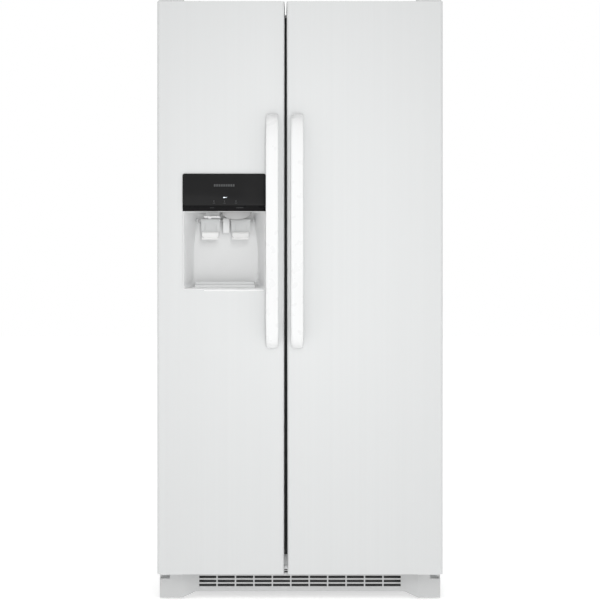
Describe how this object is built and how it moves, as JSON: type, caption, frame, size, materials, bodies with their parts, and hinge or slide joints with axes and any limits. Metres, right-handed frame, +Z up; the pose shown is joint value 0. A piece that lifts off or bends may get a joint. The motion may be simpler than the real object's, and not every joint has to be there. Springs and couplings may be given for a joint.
{
  "type": "side by side refrigerator",
  "caption": "Side-by-side refrigerator with a narrow freezer door holding an ice and water dispenser, a wider fresh food door, bowed handles, shelves, drawers and door bins.",
  "frame": {"origin": "on the floor, under the middle of the bounding box", "axes": "+Z up; the doors face -Y; +X to the right seen from the front, so the freezer is at -X"},
  "size_m": [0.838, 0.868, 1.779],
  "materials": {
    "white_steel": "semi-gloss white enamel",
    "insulation": "matt rigid foam",
    "liner_plastic": "satin vacuum-formed plastic",
    "galvanised_steel": "galvanised",
    "black_steel": "satin black paint",
    "housing_plastic": "fine satin texture",
    "coil_aluminium": "bare",
    "grey_plastic": "matt",
    "clear_plastic": "clear moulded plastic",
    "coated_wire": "white vinyl coating",
    "white_plastic": "gloss",
    "shelf_glass": "tempered glass in a moulded rim",
    "gasket_rubber": "matt",
    "panel_gloss": "high gloss"
  },
  "bodies": {
    "cabinet": {"cabinet_shell": "white_steel", "cabinet_foam": "insulation", "freezer_liner": "liner_plastic", "fresh_food_liner": "liner_plastic", "rear_panel": "galvanised_steel", "base_pan": "galvanised_steel", "machine_cover": "galvanised_steel", "compressor": "black_steel", "condenser_unit": "black_steel", "toe_grille": "housing_plastic", "evaporator_cover": "liner_plastic", "evaporator_coil": "coil_aluminium", "ice_maker": "grey_plastic", "ice_bin": "clear_plastic", "freezer_shelf_upper": "coated_wire", "freezer_shelf_lower": "coated_wire", "control_housing": "white_plastic", "shelf_upper": "shelf_glass", "shelf_middle": "shelf_glass", "crisper_cover": "shelf_glass", "top_hinge_left": "galvanised_steel", "hinge_cover_left": "white_plastic", "bottom_hinge_left": "galvanised_steel", "top_hinge_right": "galvanised_steel", "hinge_cover_right": "white_plastic", "bottom_hinge_right": "galvanised_steel"},
    "freezer_door": {"freezer_door_skin": "white_steel", "freezer_door_liner": "liner_plastic", "freezer_door_gasket": "gasket_rubber", "freezer_door_handle": "white_plastic", "dispenser_panel": "panel_gloss", "dispenser_housing": "housing_plastic", "ice_chute": "grey_plastic", "freezer_bin_upper": "clear_plastic", "freezer_bin_middle": "clear_plastic", "freezer_bin_lower": "clear_plastic"},
    "fresh_food_door": {"fresh_door_skin": "white_steel", "fresh_door_liner": "liner_plastic", "fresh_door_gasket": "gasket_rubber", "fresh_door_handle": "white_plastic", "dairy_bin": "clear_plastic", "fresh_bin_middle": "clear_plastic", "fresh_bin_lower": "clear_plastic"},
    "levelling_leg_left": {"levelling_leg_left": "grey_plastic"},
    "levelling_leg_right": {"levelling_leg_right": "grey_plastic"},
    "rear_roller_left": {"rear_roller_left": "grey_plastic"},
    "rear_roller_right": {"rear_roller_right": "grey_plastic"},
    "condenser_fan": {"condenser_fan": "grey_plastic"},
    "evaporator_fan": {"evaporator_fan": "grey_plastic"},
    "ice_auger": {"ice_auger": "coil_aluminium"},
    "freezer_control_knob": {"freezer_control_knob": "white_plastic"},
    "fresh_food_control_knob": {"fresh_food_control_knob": "white_plastic"},
    "freezer_basket": {"freezer_basket": "coated_wire"},
    "deli_drawer": {"deli_drawer": "clear_plastic"},
    "crisper_upper": {"crisper_upper": "clear_plastic"},
    "crisper_lower": {"crisper_lower": "clear_plastic"},
    "drip_tray": {"drip_tray": "grey_plastic"},
    "ice_paddle": {"ice_paddle": "grey_plastic"},
    "water_paddle": {"water_paddle": "grey_plastic"},
    "dairy_lid": {"dairy_lid": "clear_plastic"}
  },
  "joints": [
    {"name": "freezer_door_hinge", "type": "hinge", "parent": "cabinet", "child": "freezer_door", "pos_m": [-0.397, -0.338, 0.9], "axis": [0, 0, -1], "range_deg": [0, 125]},
    {"name": "fresh_food_door_hinge", "type": "hinge", "parent": "cabinet", "child": "fresh_food_door", "pos_m": [0.397, -0.338, 0.9], "axis": [0, 0, 1], "range_deg": [0, 125]},
    {"name": "freezer_basket_slide", "type": "slide", "parent": "cabinet", "child": "freezer_basket", "axis": [0, -1, 0], "range_m": [0, 0.23]},
    {"name": "deli_drawer_slide", "type": "slide", "parent": "cabinet", "child": "deli_drawer", "axis": [0, -1, 0], "range_m": [0, 0.23]},
    {"name": "crisper_upper_slide", "type": "slide", "parent": "cabinet", "child": "crisper_upper", "axis": [0, -1, 0], "range_m": [0, 0.23]},
    {"name": "crisper_lower_slide", "type": "slide", "parent": "cabinet", "child": "crisper_lower", "axis": [0, -1, 0], "range_m": [0, 0.23]},
    {"name": "drip_tray_slide", "type": "slide", "parent": "freezer_door", "child": "drip_tray", "axis": [0, -1, 0], "range_m": [0, 0.055]},
    {"name": "ice_paddle_pivot", "type": "hinge", "parent": "freezer_door", "child": "ice_paddle", "pos_m": [-0.177, -0.303, 1.124], "axis": [1, 0, 0], "range_deg": [0, 12], "stiffness_Nm_per_rad": 0.12, "springref_deg": -8.59},
    {"name": "water_paddle_pivot", "type": "hinge", "parent": "freezer_door", "child": "water_paddle", "pos_m": [-0.2665, -0.303, 1.124], "axis": [1, 0, 0], "range_deg": [0, 12], "stiffness_Nm_per_rad": 0.12, "springref_deg": -8.59},
    {"name": "dairy_lid_hinge", "type": "hinge", "parent": "fresh_food_door", "child": "dairy_lid", "pos_m": [0.18, -0.296, 1.5375], "axis": [1, 0, 0], "range_deg": [0, 75]},
    {"name": "ice_auger_spin", "type": "hinge", "parent": "cabinet", "child": "ice_auger", "pos_m": [-0.218, -0.02, 1.362], "axis": [0, 1, 0], "continuous": true},
    {"name": "condenser_fan_spin", "type": "hinge", "parent": "cabinet", "child": "condenser_fan", "pos_m": [-0.096, 0.312, 0.15], "axis": [1, 0, 0], "continuous": true},
    {"name": "evaporator_fan_spin", "type": "hinge", "parent": "cabinet", "child": "evaporator_fan", "pos_m": [-0.218, 0.325, 0.93], "axis": [0, 1, 0], "continuous": true},
    {"name": "rear_roller_left_spin", "type": "hinge", "parent": "cabinet", "child": "rear_roller_left", "pos_m": [-0.396, 0.398, 0.02], "axis": [1, 0, 0], "continuous": true},
    {"name": "levelling_leg_left_turn", "type": "hinge", "parent": "cabinet", "child": "levelling_leg_left", "pos_m": [-0.372, -0.252, 0], "axis": [0, 0, 1], "continuous": true},
    {"name": "rear_roller_right_spin", "type": "hinge", "parent": "cabinet", "child": "rear_roller_right", "pos_m": [0.396, 0.398, 0.02], "axis": [1, 0, 0], "continuous": true},
    {"name": "levelling_leg_right_turn", "type": "hinge", "parent": "cabinet", "child": "levelling_leg_right", "pos_m": [0.372, -0.252, 0], "axis": [0, 0, 1], "continuous": true},
    {"name": "freezer_control_knob_turn", "type": "hinge", "parent": "cabinet", "child": "freezer_control_knob", "pos_m": [0.125, -0.1578, 1.677], "axis": [0, -1, 0], "range_deg": [-135, 135]},
    {"name": "fresh_food_control_knob_turn", "type": "hinge", "parent": "cabinet", "child": "fresh_food_control_knob", "pos_m": [0.235, -0.1578, 1.677], "axis": [0, -1, 0], "range_deg": [-135, 135]}
  ],
  "couplings": [
    {"joint": "freezer_basket_slide", "follows": "freezer_door_hinge", "m_per_rad": 0.105},
    {"joint": "deli_drawer_slide", "follows": "fresh_food_door_hinge", "m_per_rad": 0.105},
    {"joint": "crisper_upper_slide", "follows": "fresh_food_door_hinge", "m_per_rad": 0.105},
    {"joint": "crisper_lower_slide", "follows": "fresh_food_door_hinge", "m_per_rad": 0.105}
  ]
}
